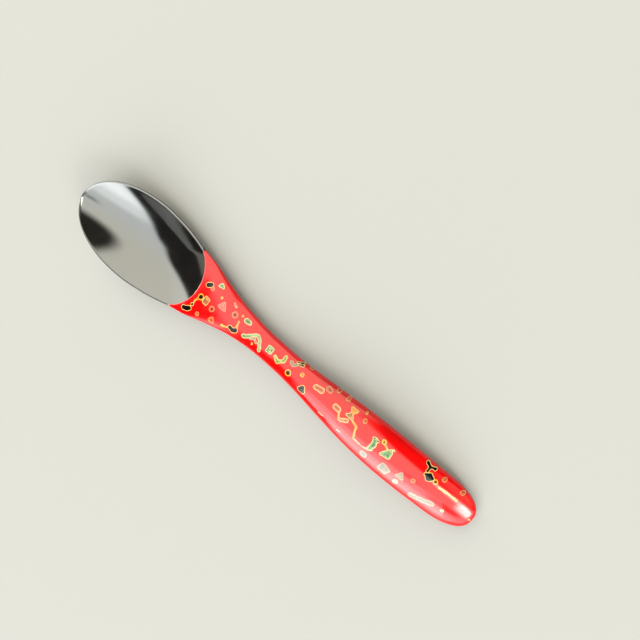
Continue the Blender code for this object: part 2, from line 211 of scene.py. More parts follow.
def bezier(p0, p1, p2, p3, t):
    """A cubic curve through its first and last value."""
    s = 1 - t
    return s**3 * p0 + 3 * s * s * t * p1 + 3 * s * t * t * p2 + t**3 * p3


def lip_drop(from_edge):
    """How far the deck is rounded down at this distance from the hollow's edge."""
    return LIP * (1 - np.clip(from_edge / LIP_BREADTH, 0, 1)) ** 2


def bowl_column(angle, rim, outline):
    """One radial line of the bowl: up the hollow, over the rim, and under to the middle."""
    split = (COLOUR_CHANGE - HOLLOW_CENTRE) / max(math.cos(angle), TINY)
    end = min(outline, split)
    direction = np.array([math.cos(angle), math.sin(angle)])

    def at(radius):
        return HOLLOW_CENTRE + radius * direction[0], radius * direction[1]

    shares = np.linspace(0, 1, INNER_RINGS)
    radii = rim * shares
    along, across = at(radii)
    deck = smooth(EDGE_HEIGHT, along) + DECK_RISE
    z = deck - HOLLOW_DEPTH * (1 - shares**HOLLOW_POWER) - LIP * shares**LIP_POWER
    inner = np.stack([along, across, z], 1)
    steps = np.linspace(0, 1, RIM_RINGS + 1)[1:]
    start_z = z[-1]
    if end > rim:
        if outline <= split:
            end_z = float(smooth(EDGE_HEIGHT, at(end)[0]))
            radius = bezier(rim, rim + RIM_LEAN * (end - rim), end, end, steps)
            height = bezier(start_z, start_z + RIM_UP, end_z + RIM_DOWN, end_z, steps)
        else:
            radius = rim + (end - rim) * steps
            height = outside_height(*at(radius), True) - lip_drop(radius - rim)
    else:
        radius = np.full(RIM_RINGS, rim)
        height = np.full(RIM_RINGS, start_z)
    over = np.stack([*at(radius), height], 1)
    turns = np.linspace(1, 0, OUTER_RINGS + 1)
    if outline <= split:
        turns = turns[1:]
        radius = end * np.sin(turns * math.pi / 2)
    else:
        turns = turns[:-1]
        radius = end * turns
    under = np.stack([*at(radius), outside_height(*at(radius), False)], 1)
    return np.concatenate([inner, over, under])


def bowl_skin(material):
    """The bowl's black lacquer: one skin over the hollow, the rim and the underside."""
    corner = math.atan2(float(section(COLOUR_CHANGE)[0]), COLOUR_CHANGE - HOLLOW_CENTRE)
    rear = np.linspace(-corner, corner, REAR_COLUMNS)
    front = np.linspace(corner, 2 * math.pi - corner, FRONT_COLUMNS + 2)[1:-1]
    angles = np.concatenate([rear, front])
    rims = hollow_reach(angles)
    outlines = reach_of(angles, 0.0)
    columns = [bowl_column(*row) for row in zip(angles, rims, outlines)]
    points = np.concatenate(columns)
    points[:, 0] -= LENGTH / 2
    faces = []
    count = len(columns)
    rows = len(columns[0])
    seam = INNER_RINGS + RIM_RINGS
    split = (COLOUR_CHANGE - HOLLOW_CENTRE) / np.maximum(np.cos(angles), TINY)
    joined = outlines <= split + TINY
    has_rim = np.minimum(outlines, split) > rims
    for c in range(count):
        d = (c + 1) % count
        for r in range(rows - 1):
            if r == seam - 1 and not (joined[c] and joined[d]):
                continue
            if INNER_RINGS - 1 <= r < seam - 1 and not (has_rim[c] or has_rim[d]):
                continue
            faces.append((c * rows + r, d * rows + r, d * rows + r + 1, c * rows + r + 1))
    piece = mesh_piece("bowl_black_lacquer", points, faces, material)
    return finish_skin(piece)


def finish_skin(piece):
    """Merges meeting points, gives the skin its thickness inwards, and shades it smooth."""
    work = bmesh.new()
    work.from_mesh(piece.data)
    bmesh.ops.remove_doubles(work, verts=work.verts, dist=MERGE * MM)
    bmesh.ops.dissolve_degenerate(work, edges=work.edges, dist=SHORTEST_EDGE * MM)
    loose = [v for v in work.verts if not v.link_faces]
    bmesh.ops.delete(work, geom=loose, context="VERTS")
    bmesh.ops.recalc_face_normals(work, faces=work.faces)
    bmesh.ops.solidify(work, geom=work.faces, thickness=LACQUER * MM)
    bmesh.ops.recalc_face_normals(work, faces=work.faces)
    if work.calc_volume(signed=True) < 0:
        bmesh.ops.reverse_faces(work, faces=work.faces)
    work.to_mesh(piece.data)
    work.free()
    piece.data.shade_smooth()
    piece.data.set_sharp_from_angle(angle=SHARP_ANGLE)
    return piece


# ---------------------------------------------------------------- the red handle, mm
TOP_COLUMNS = 34  # on each side of the middle
UNDER_COLUMNS = 44
NEAR_ROWS = 26  # beside the hollow
NEAR_CROWDING = 0.6  # below 1, those rows crowd towards the hollow's rear
MIDDLE_ROWS = 340
END_ROWS = 34
END_CUT = 0.002  # left off the handle's end, which one face closes
ROUND_SHARE = 0.55  # how much the top's columns crowd towards its edge
EVEN_SHARE = 0.45  # how much they are spread evenly
WIDEST_REAR_ANGLE = 0.75  # past the ends of the red's edge, seen from the hollow's centre, radians
REAR_SAMPLES = 1500


def deck_edge(along):
    """Half the width of the hollow there, behind the colour change."""
    angles = np.linspace(0, WIDEST_REAR_ANGLE, REAR_SAMPLES)
    reach = hollow_reach(angles)
    x = HOLLOW_CENTRE + reach * np.cos(angles)
    y = reach * np.sin(angles)
    order = np.argsort(x)
    return np.where(along >= HOLLOW_REAR, 0.0, np.interp(along, x[order], y[order]))


def handle_rows():
    """How far each cross-section of the handle is from the tip."""
    near_shares = 1 - np.linspace(0, 1, NEAR_ROWS) ** NEAR_CROWDING
    near = HOLLOW_REAR - (HOLLOW_REAR - COLOUR_CHANGE) * near_shares
    middle = np.linspace(HOLLOW_REAR, LENGTH - END_LENGTH, MIDDLE_ROWS)[1:]
    turns = np.linspace(0, math.pi / 2, END_ROWS)[1:-1]
    back = LENGTH - END_LENGTH * (1 - np.sin(turns))
    return np.concatenate([near, middle, back, [LENGTH - END_CUT]])


def handle_skin(material):
    """The red lacquer from the colour change to the handle's end, round the hollow's rear edge."""
    rows = handle_rows()
    half = section(rows)[0]
    inner = np.minimum(deck_edge(rows), half)
    count = 2 * TOP_COLUMNS + UNDER_COLUMNS + 1
    grid = np.zeros((len(rows), count, 3))
    top = np.linspace(0, 1, TOP_COLUMNS + 1)
    under = np.linspace(0, math.pi, UNDER_COLUMNS + 1)
    for i, along in enumerate(rows):
        from_middle = np.sin(top * math.pi / 2) * ROUND_SHARE + top * EVEN_SHARE
        y = inner[i] + (half[i] - inner[i]) * from_middle
        z = outside_height(along, y, True)
        beyond = max(along - HOLLOW_REAR, 0.0)
        z = z - lip_drop(np.hypot(y - inner[i], beyond))
        under_y = half[i] * np.cos(under)
        under_z = outside_height(along, under_y, False)
        ys = np.concatenate([y, under_y[1:-1], -y[::-1]])
        zs = np.concatenate([z, under_z[1:-1], z[::-1]])
        grid[i] = np.stack([np.full(len(ys), along), ys, zs], 1)
    points = grid.reshape(-1, 3)
    points[:, 0] -= LENGTH / 2
    faces = []
    for i in range(len(rows) - 1):
        for j in range(count - 1):
            a = i * count + j
            faces.append((a, a + 1, a + count + 1, a + count))
    last = (len(rows) - 1) * count
    faces.append(tuple(last + j for j in range(count - 1)))
    piece = mesh_piece("handle_red_lacquer", points, faces, material)
    return finish_skin(piece)


# ---------------------------------------------------------------- the spots of the red lacquer
SHAKE = 0.8  # how much noise moves a spot's outline, mm from its farthest in to its farthest out
SPOT_REACH = 1.5  # how far outside a spot its depth is still told apart, mm
SPOT_LENGTH = 12.0  # no spot goes farther along the spoon than this from its first point, mm
UNDER_MARGIN = 0.05  # how far below the widest line the underside's spots begin, mm
LIP_END = 3.0  # how far behind the hollow its edge is still told apart, mm
NO_LIP = 9.0  # the distance from the hollow's edge that every farther point gets, mm

# For each kind of spot, the values of its layers; widths and depths are in mm.
COLOURS = ("ring_colour", "fill_colour", "core_colour")
DEPTHS = ("ring_width", "core_depth")
KINDS = {
    "ink": ((0.42, 0.28, 0.09), (0.002, 0.0018, 0.0016), (0.001, 0.001, 0.001), 0.17, 0.30),
    "sun": ((0.42, 0.20, 0.02), (0.34, 0.11, 0.01), (0.004, 0.003, 0.002), 0.26, 0.50),
    "ember": ((0.40, 0.17, 0.06), (0.26, 0.012, 0.005), (0.08, 0.010, 0.003), 0.18, 0.72),
    "moss": ((0.36, 0.31, 0.14), (0.045, 0.115, 0.045), (0.008, 0.025, 0.010), 0.20, 0.85),
    "lime": ((0.38, 0.27, 0.06), (0.09, 0.13, 0.03), (0.035, 0.075, 0.025), 0.20, 0.60),
    "yolk": ((0.38, 0.21, 0.04), (0.36, 0.13, 0.02), (0.24, 0.05, 0.006), 0.16, 0.50),
    "blush": ((0.40, 0.16, 0.11), (0.27, 0.004, 0.003), (0.20, 0.002, 0.002), 0.24, 2.0),
    "loop": ((0.40, 0.27, 0.12), (0.28, 0.022, 0.008), (0.15, 0.035, 0.01), 0.22, 0.70),
    "bronze": ((0.40, 0.23, 0.08), (0.20, 0.05, 0.015), (0.07, 0.045, 0.015), 0.22, 0.65),
    "mist": ((0.21, 0.16, 0.10), (0.12, 0.075, 0.05), (0.06, 0.07, 0.05), 0.20, 0.70),
    "pale": ((0.26, 0.16, 0.10), (0.24, 0.15, 0.10), (0.20, 0.11, 0.07), 0.18, 0.80),
}

# Each spot on the top: its kind, how far it reaches round its points, and the points, as distance from
# the tip and distance across. Three or more points that end where they began enclose an area.
SPOTS = (
    ("ink", 1.05, (62.6, 4.0), (63.6, 4.9)),
    ("ember", 0.80, (65.0, 4.0)),
    ("moss", 0.40, (66.6, 6.6), (68.3, 6.8), (67.3, 7.9), (66.6, 6.6)),
    ("yolk", 0.50, (70.2, 3.7)),
    ("blush", 0.50, (71.0, 0.6), (73.8, 0.8), (72.2, 2.9), (71.0, 0.6)),
    ("sun", 1.25, (62.8, -1.5)),
    ("bronze", 0.45, (64.7, -2.5), (66.3, -2.6), (66.4, -0.2), (64.6, -0.1), (64.7, -2.5)),
    ("ink", 1.05, (59.0, -9.3), (60.2, -8.9), (61.1, -8.1)),
    ("ink", 0.75, (61.3, -6.0)),
    ("yolk", 0.35, (60.9, -8.3), (61.3, -6.3)),
    ("yolk", 0.35, (61.5, -5.2), (61.5, -3.8), (62.3, -2.6)),
    ("ember", 1.15, (69.3, -2.1)),
    ("ember", 0.85, (65.2, -7.7)),
    ("ember", 0.60, (70.6, -6.2), (72.1, -6.1), (71.3, -5.0), (70.6, -6.2)),
    ("mist", 0.18, (75.3, 5.3), (76.9, 4.9)),
    ("mist", 0.18, (75.6, 4.7), (77.0, 4.4)),
    ("ember", 1.25, (78.2, 2.1)),
    ("yolk", 0.40, (80.8, 3.7)),
    ("moss", 0.85, (82.9, 3.2), (84.5, 3.2)),
    ("yolk", 0.40, (81.0, 1.0), (81.5, -1.5)),
    ("ink", 1.00, (79.2, -2.9), (80.5, -3.2), (81.6, -2.4)),
    ("yolk", 0.25, (79.3, -3.1), (77.2, -4.0), (76.1, -4.3)),
    ("yolk", 0.30, (75.7, -4.6), (76.6, -4.6), (76.1, -3.9), (75.7, -4.6)),
    ("moss", 0.85, (85.2, -1.9), (86.6, -1.2), (87.4, -0.4)),
    ("moss", 0.62, (87.4, -0.4), (88.6, 0.9), (90.0, 1.9), (91.2, 1.3), (92.2, 0.0), (92.9, -1.0),
     (93.3, -2.2)),
    ("mist", 0.40, (88.2, -1.0), (89.6, 0.3), (90.8, -0.6)),
    ("yolk", 0.40, (89.8, -2.1)),
    ("moss", 0.50, (95.9, 0.0), (97.7, 0.1), (97.6, 1.8), (95.8, 1.7), (95.9, 0.0)),
    ("lime", 0.70, (100.0, 0.4), (101.5, -0.6), (103.4, 1.3), (103.2, 2.7)),
    ("mist", 0.55, (105.6, 3.0), (106.9, 2.3), (107.9, 3.2)),
    ("sun", 1.20, (107.2, -0.8)),
    ("ink", 0.35, (107.6, 4.2), (109.4, 5.0)),
    ("ink", 0.35, (108.4, 3.8), (110.0, 4.5)),
    ("yolk", 0.75, (111.7, 2.1)),
    ("ink", 0.78, (113.9, -2.3), (115.5, -2.4), (114.7, -1.0), (113.9, -2.3)),
    ("loop", 0.95, (118.3, 2.3), (120.7, 2.7)),
    ("ember", 0.80, (122.0, 4.6), (123.0, 4.6)),
    ("ember", 0.80, (112.6, 5.8)),
    ("ember", 0.80, (125.1, 6.4)),
    ("ember", 0.80, (129.5, 6.4)),
    ("mist", 0.25, (124.0, -4.1), (126.0, -3.9)),
    ("pale", 0.30, (132.7, -4.1), (134.3, -3.9)),
    ("loop", 1.00, (127.7, 1.9), (129.0, 1.9)),
    ("yolk", 0.34, (129.8, 1.2), (131.0, -0.6)),
    ("loop", 0.65, (131.6, -0.4), (133.6, 0.9)),
    ("yolk", 0.40, (132.4, 5.4), (134.6, 5.6), (133.5, 4.0), (132.4, 5.4)),
    ("bronze", 0.45, (133.5, 4.0), (132.3, 2.6), (134.6, 2.5), (133.5, 4.0)),
    ("ember", 0.75, (138.3, 4.8)),
    ("yolk", 0.50, (137.1, 6.9)),
    ("yolk", 0.32, (135.2, 2.1), (137.3, 1.5), (138.0, -0.5), (138.7, -2.2)),
    ("pale", 0.26, (138.7, -2.2), (142.0, -2.5), (145.0, -2.0)),
    ("moss", 0.95, (145.1, -1.0), (145.3, 0.8), (144.8, 2.2)),
    ("ink", 0.42, (143.9, 2.6), (145.7, 2.5)),
    ("sun", 0.85, (147.3, 3.7)),
    ("yolk", 0.30, (148.3, 3.2), (149.6, 2.6)),
    ("moss", 0.60, (148.9, 0.0), (151.6, 0.6), (150.9, 2.9), (148.9, 0.0)),
    ("ink", 0.50, (151.5, 3.6)),
    ("mist", 0.95, (144.2, -4.4), (145.0, -4.4)),
    ("mist", 0.65, (151.2, -4.3), (153.7, -4.5), (154.1, -3.0), (151.7, -2.6), (151.2, -4.3)),
    ("pale", 1.00, (158.0, -4.6)),
    ("mist", 0.50, (157.2, -2.4), (159.2, -2.3), (158.0, -0.9), (157.2, -2.4)),
    ("ember", 0.80, (162.2, -0.3)),
    ("mist", 0.85, (164.5, -5.0), (167.5, -4.2), (171.5, -2.8)),
    ("moss", 0.60, (175.4, -2.6)),
    ("ink", 0.58, (162.2, 7.2), (163.7, 6.7), (165.3, 7.0)),
    ("ink", 0.58, (163.7, 6.7), (163.6, 5.2)),
    ("ink", 0.62, (163.9, 4.0), (165.2, 3.0), (166.5, 4.0), (165.2, 5.0), (163.9, 4.0)),
    ("sun", 0.85, (167.8, 3.9)),
    ("ember", 0.80, (169.7, 6.2)),
    ("yolk", 0.30, (169.8, 3.2), (173.0, 3.4), (176.8, 3.2)),
    ("ember", 0.80, (176.7, 6.2)),
    ("ink", 0.45, (184.0, 0.0)),
)

# The underside's spots, mm.
UNDER_SEED = 11
UNDER_STEP = 5.5  # along from one spot to the next
UNDER_START = 5.0  # from the colour change
UNDER_END = 8.0  # from the handle's end
UNDER_SIDE = 3.5  # kept free at each side
LEAST_SPREAD = 0.3
STRAY = 1.5  # along, from where the spot would be
LONGEST_ARM = 1.6
UNDER_REACH = (0.6, 1.1)
BEND = (0.4, 1.0)  # takes each spot's middle point off the straight line


def underside_spots():
    """Spots of the same kinds along the underside, clear of its edges."""
    chance = np.random.default_rng(UNDER_SEED)
    kinds = list(KINDS)
    spots = []
    for along in np.arange(COLOUR_CHANGE + UNDER_START, LENGTH - UNDER_END, UNDER_STEP):
        free = max(float(section(along)[0]) - UNDER_SIDE, LEAST_SPREAD)
        place = np.array((along + chance.uniform(-STRAY, STRAY), chance.uniform(-free, free)))
        turn = chance.uniform(0, math.pi)
        arm = chance.uniform(0.0, LONGEST_ARM) * np.array((math.cos(turn), math.sin(turn)))
        kind = kinds[int(chance.integers(len(kinds)))]
        reach = chance.uniform(*UNDER_REACH)
        spots.append((kind, reach, tuple(place - arm), tuple(place + arm * BEND), tuple(place + arm)))
    return spots


def distance_to(points, corners):
    """How far each point is from the line through the corners, 0 inside a closed one."""
    corners = np.array(corners, float)
    if len(corners) == 1:
        return np.hypot(*(points - corners[0]).T)
    nearest = np.full(len(points), np.inf)
    inside = np.zeros(len(points), bool)
    for start, end in zip(corners[:-1], corners[1:]):
        side = end - start
        from_start = points - start
        share = np.clip(from_start @ side / (side @ side), 0.0, 1.0)
        nearest = np.minimum(nearest, np.hypot(*(from_start - share[:, None] * side).T))
        crosses = (start[1] > points[:, 1]) != (end[1] > points[:, 1])
        rise = side[1] if side[1] else 1.0
        inside ^= crosses & (points[:, 0] < start[0] + side[0] * (points[:, 1] - start[1]) / rise)
    closed = len(corners) > 3 and np.allclose(corners[0], corners[-1])
    return np.where(inside, 0.0, nearest) if closed else nearest


def mark_spots(piece):
    """Gives each point its depth in the nearest spot, that spot's layers, and how near the hollow is."""
    mesh = piece.data
    place = np.empty(len(mesh.vertices) * 3)
    mesh.vertices.foreach_get("co", place)
    along, across, height = (place.reshape(-1, 3) / MM).T
    along = along + LENGTH / 2
    half, edge = section(along)[:2]
    under = height < edge - UNDER_MARGIN
    unfolded = np.where(under, np.sign(across) * (2 * half - np.abs(across)), across)
    best = np.full(len(along), -SPOT_REACH)
    chosen = np.zeros(len(along), int)
    everywhere = np.ones(len(along), bool)
    for spots, sides, there in ((SPOTS, unfolded, everywhere), (underside_spots(), across, under)):
        points = np.stack([along, sides], 1)
        for kind, reach, *corners in spots:
            near = there & (np.abs(along - corners[0][0]) < SPOT_LENGTH)
            depth = reach - distance_to(points[near], corners)
            deeper = depth > best[near]
            index = np.flatnonzero(near)[deeper]
            best[index] = depth[deeper]
            chosen[index] = list(KINDS).index(kind)
    mesh.attributes.new("depth", "FLOAT", "POINT").data.foreach_set("value", best)
    # How far each point is from the hollow's edge; this places the painted highlight along that edge.
    from_centre = np.hypot(along - HOLLOW_CENTRE, across)
    lip = from_centre - hollow_reach(np.arctan2(across, along - HOLLOW_CENTRE))
    lip = np.where(under | (along > HOLLOW_REAR + LIP_END), NO_LIP, lip)
    mesh.attributes.new("lip", "FLOAT", "POINT").data.foreach_set("value", lip)
    for number, name in enumerate(COLOURS + DEPTHS):
        layer = [values[number] for values in KINDS.values()]
        if name in DEPTHS:
            mesh.attributes.new(name, "FLOAT", "POINT").data.foreach_set("value", np.array(layer)[chosen])
        else:
            shown = np.array([(*colour, 1.0) for colour in layer])[chosen]
            mesh.attributes.new(name, "FLOAT_COLOR", "POINT").data.foreach_set("color", shown.ravel())


# ---------------------------------------------------------------- the studio
# A direction (x, y, z) is at the place (x, y) / (1 + z): 0 straight up, 1 at the horizon. The light tent
# shines out to its reach; each shade takes its share away, and each lamp adds its brightness, inside a
# soft-edged rectangle: centre, half size, turn in degrees, softness, share or brightness.
TENT_BRIGHTNESS = 4.0
TENT_REACH = (0.72, 1.05)  # where it begins to fade, and where it ends
GLOOM = 0.03  # the brightness of everything else
CORNER_POWER = 4.0  # of each rectangle's rounded corners
COOL = (0.95, 1.0, 0.98)
WARM = (1.0, 0.985, 0.84)
TINT_CHANGE = (-0.35, 0.15)  # where the light turns from cool to warm, across the spoon
JUST_OVER = 1.0001  # keeps straight down from dividing by 0
FLATTENING = 1e6  # takes a direction's height out of its place
SHADES = (
    ((-0.80, -0.64), (0.64, 0.56), 0, 0.06, 0.995),
    ((0.455, 0.61), (0.495, 0.555), 0, 0.10, 0.985),
    ((0.40, -0.26), (0.13, 0.045), -8, 0.05, 0.80),
    ((0.185, -0.20), (0.025, 0.03), 0, 0.03, 0.55),
)
LAMPS = (
    ((0.57, -0.12), (0.10, 0.10), -20, 0.08, 22.0),
    ((0.21, -0.66), (0.36, 0.32), 0, 0.12, 1.8),
    ((0.19, -0.60), (0.32, 0.13), 20, 0.20, 2.0),
    ((0.42, -0.035), (0.17, 0.045), -18, 0.05, 11.0),
    ((0.50, 0.32), (0.24, 0.22), 0, 0.14, 1.5),
)
# Two softboxes beside the handle, and lit on it alone: place, size, both in metres, and watts.
HANDLE_LIGHTS = (
    ((0.1375, -0.252, 0.255), (0.445, 0.27), 1.16),
    ((0.1375, -0.272, 0.232), (0.445, 0.15), 0.58),
)
HANDLE_AIM = (0.1375, 0.0, 0.012)


def value_node(tree, operation, first, second=0.0):
    """A sum, product or the like of two values, each given as a number or as another node's output."""
    node = tree.nodes.new("ShaderNodeMath")
    node.operation = operation
    for socket, value in zip(node.inputs, (first, second)):
        if isinstance(value, (int, float)):
            socket.default_value = value
        else:
            tree.links.new(value, socket)
    return node.outputs[0]


def soft_step(tree, value, start, end, low=0.0, high=1.0):
    """Goes smoothly from low to high as the value goes from start to end."""
    node = tree.nodes.new("ShaderNodeMapRange")
    node.interpolation_type = "SMOOTHSTEP"
    tree.links.new(value, node.inputs["Value"])
    for name, number in zip(("From Min", "From Max", "To Min", "To Max"), (start, end, low, high)):
        node.inputs[name].default_value = number
    return node.outputs["Result"]


def patch(tree, place, shape):
    """A soft-edged rectangle's value in each direction: its amount inside it, 0 outside."""
    centre, half, turn, softness, amount = shape
    mapping = tree.nodes.new("ShaderNodeMapping")
    mapping.vector_type = "TEXTURE"
    mapping.inputs["Location"].default_value = (*centre, 0)
    mapping.inputs["Rotation"].default_value = (0, 0, math.radians(turn))
    tree.links.new(place, mapping.inputs["Vector"])
    parts = tree.nodes.new("ShaderNodeSeparateXYZ")
    tree.links.new(mapping.outputs["Vector"], parts.inputs["Vector"])
    total = 0.0
    for axis in (0, 1):
        away = value_node(tree, "ABSOLUTE", parts.outputs[axis])
        share = value_node(tree, "DIVIDE", away, half[axis])
        total = value_node(tree, "ADD", value_node(tree, "POWER", share, CORNER_POWER), total)
    reach = value_node(tree, "POWER", total, 1 / CORNER_POWER)
    soft = softness / (half[0] + half[1])
    return soft_step(tree, reach, 1 - soft, 1 + soft, amount, 0.0)


def add_studio():
    """A light tent round the spoon, out of reach, with its soft shades and lamps."""
    world = bpy.data.worlds.new("studio")
    world.use_nodes = True
    tree = world.node_tree
    background = tree.nodes["Background"]
    direction = tree.nodes.new("ShaderNodeTexCoord").outputs["Generated"]
    parts = tree.nodes.new("ShaderNodeSeparateXYZ")
    tree.links.new(direction, parts.inputs["Vector"])
    height = value_node(tree, "ADD", parts.outputs["Z"], JUST_OVER)
    place = tree.nodes.new("ShaderNodeVectorMath")
    place.operation = "DIVIDE"
    tree.links.new(direction, place.inputs[0])
    both = tree.nodes.new("ShaderNodeCombineXYZ")
    for name in ("X", "Y"):
        tree.links.new(height, both.inputs[name])
    both.inputs["Z"].default_value = FLATTENING
    tree.links.new(both.outputs["Vector"], place.inputs[1])
    away = tree.nodes.new("ShaderNodeVectorMath")
    away.operation = "LENGTH"
    tree.links.new(place.outputs["Vector"], away.inputs[0])
    total = soft_step(tree, away.outputs["Value"], *TENT_REACH, TENT_BRIGHTNESS, 0.0)
    for shade in SHADES:
        kept = value_node(tree, "SUBTRACT", 1.0, patch(tree, place.outputs["Vector"], shade))
        total = value_node(tree, "MULTIPLY", kept, total)
    for lamp in LAMPS:
        total = value_node(tree, "ADD", patch(tree, place.outputs["Vector"], lamp), total)
    total = value_node(tree, "ADD", total, GLOOM)
    tree.links.new(total, background.inputs["Strength"])
    sides = tree.nodes.new("ShaderNodeSeparateXYZ")
    tree.links.new(place.outputs["Vector"], sides.inputs["Vector"])
    tint = soft_step(tree, sides.outputs["Y"], *TINT_CHANGE)
    tree.links.new(mixed(tree, tint, COOL, WARM), background.inputs["Color"])
    bpy.context.scene.world = world


# ---------------------------------------------------------------- lacquers, wood and floor
# A noise's scale is about its number of features to a metre. A STEP is where a soft step starts and ends,
# in the noise's own values or in millimetres. A ROUGHNESS pair is the least and the most.
RED = (0.37, 0.0008, 0.0008)
DEEP_RED = (0.28, 0.0005, 0.0005)
RED_INDEX = 1.42
RED_CLOUDS = 60.0
RED_CLOUD_STEP = (0.35, 0.75)
RED_ROUGHNESS = (0.08, 0.12)
RED_WAVES = 80.0

BLACK = (0.0020, 0.0018, 0.0018)
BROWN_BLACK = (0.0045, 0.0030, 0.0022)
BLACK_INDEX = 1.98
BLACK_CLOUDS = 90.0
BLACK_CLOUD_STEP = (0.4, 0.7)
BLACK_ROUGHNESS = (0.09, 0.13)
BLACK_WAVES = 70.0

POLISH = 160.0  # the noise in both lacquers' roughness
POLISH_STEP = (0.3, 0.7)
WAVE_STRENGTH = 0.25
WAVE_HEIGHT = 0.0001  # m

EDGE_BLUR = 0.06  # of every layer's edge, mm of depth
SHAKE_SCALE = 620.0
CONTOUR_RED = (0.16, 0.004, 0.002)
CONTOUR_STEP = (-0.34, -0.24)  # the darker red round each spot
CONTOUR_STRENGTH = 0.4
MOTTLING = 900.0  # the noise that mixes a spot's core into its fill
MOTTLING_STEP = (0.42, 0.62)
MOTTLING_STRENGTH = 0.75
ECHO_DEPTH = 0.30  # of the second, fainter ring inside each spot's ring, mm
ECHO_STEP = (0.02, 0.12)
ECHO_STRENGTH = 0.5
ROOMY_STEP = (0.56, 0.60)  # only spots with cores deeper than this have the second ring
# A painted highlight: the red is painted paler just behind the hollow's edge, where its rounded lip catches
# the light.
LIP_HIGHLIGHT_RED = (0.44, 0.16, 0.13)
LIP_HIGHLIGHT_STEP = (0.12, 0.30)  # the painted highlight, a paler line along the hollow's edge
LIP_HIGHLIGHT_STRENGTH = 0.75

WOOD = (0.62, 0.42, 0.24)
DARK_WOOD = (0.34, 0.19, 0.09)
GRAIN = 900.0
GRAIN_STRETCH = (0.04, 1, 1)
GRAIN_STEP = (0.3, 0.7)
WOOD_ROUGHNESS = (0.6, 0.8)
GRAIN_STRENGTH = 0.4
GRAIN_HEIGHT = 0.0002  # m

PAPER = (0.212, 0.208, 0.204)
PAPER_ROUGHNESS = 0.9


def new_material(name):
    material = bpy.data.materials.new(name)
    material.use_nodes = True
    return material, material.node_tree, material.node_tree.nodes["Principled BSDF"]


def mixed(tree, factor, first, second):
    """A colour between two, each given as numbers or as another node's output."""
    node = tree.nodes.new("ShaderNodeMix")
    node.data_type = "RGBA"
    tree.links.new(factor, node.inputs["Factor"])
    for socket, value in ((node.inputs[6], first), (node.inputs[7], second)):
        if isinstance(value, tuple):
            socket.default_value = (*value[:3], 1.0)
        else:
            tree.links.new(value, socket)
    return node.outputs[2]


def noise(tree, scale, detail=2.0, stretch=(1, 1, 1)):
    """Cloudy noise from 0 to 1 over the piece."""
    place = tree.nodes.new("ShaderNodeTexCoord").outputs["Object"]
    mapping = tree.nodes.new("ShaderNodeMapping")
    mapping.inputs["Scale"].default_value = stretch
    tree.links.new(place, mapping.inputs["Vector"])
    node = tree.nodes.new("ShaderNodeTexNoise")
    node.inputs["Scale"].default_value = scale
    node.inputs["Detail"].default_value = detail
    tree.links.new(mapping.outputs["Vector"], node.inputs["Vector"])
    return node.outputs["Fac"]


def bumped(tree, shader, height, strength, distance):
    """Tilts the shader's surface as if it rose and fell with this height."""
    node = tree.nodes.new("ShaderNodeBump")
    node.inputs["Strength"].default_value = strength
    node.inputs["Distance"].default_value = distance
    tree.links.new(height, node.inputs["Height"])
    tree.links.new(node.outputs["Normal"], shader.inputs["Normal"])


def polish(tree, shader, roughness, waves):
    """A lacquer's hand-polished gloss: slightly uneven, over very shallow waves."""
    uneven = soft_step(tree, noise(tree, POLISH), *POLISH_STEP, *roughness)
    tree.links.new(uneven, shader.inputs["Roughness"])
    bumped(tree, shader, noise(tree, waves, detail=1.0), WAVE_STRENGTH, WAVE_HEIGHT)


def black_lacquer():
    """Black lacquer, browner in faint clouds."""
    material, tree, shader = new_material("black_lacquer")
    shader.inputs["IOR"].default_value = BLACK_INDEX
    clouds = soft_step(tree, noise(tree, BLACK_CLOUDS), *BLACK_CLOUD_STEP)
    tree.links.new(mixed(tree, clouds, BLACK, BROWN_BLACK), shader.inputs["Base Color"])
    polish(tree, shader, BLACK_ROUGHNESS, BLACK_WAVES)
    return material


def stored(tree, name):
    """What mark_spots stored on the skin under this name."""
    node = tree.nodes.new("ShaderNodeAttribute")
    node.attribute_name = name
    return node.outputs["Color" if name in COLOURS else "Fac"]


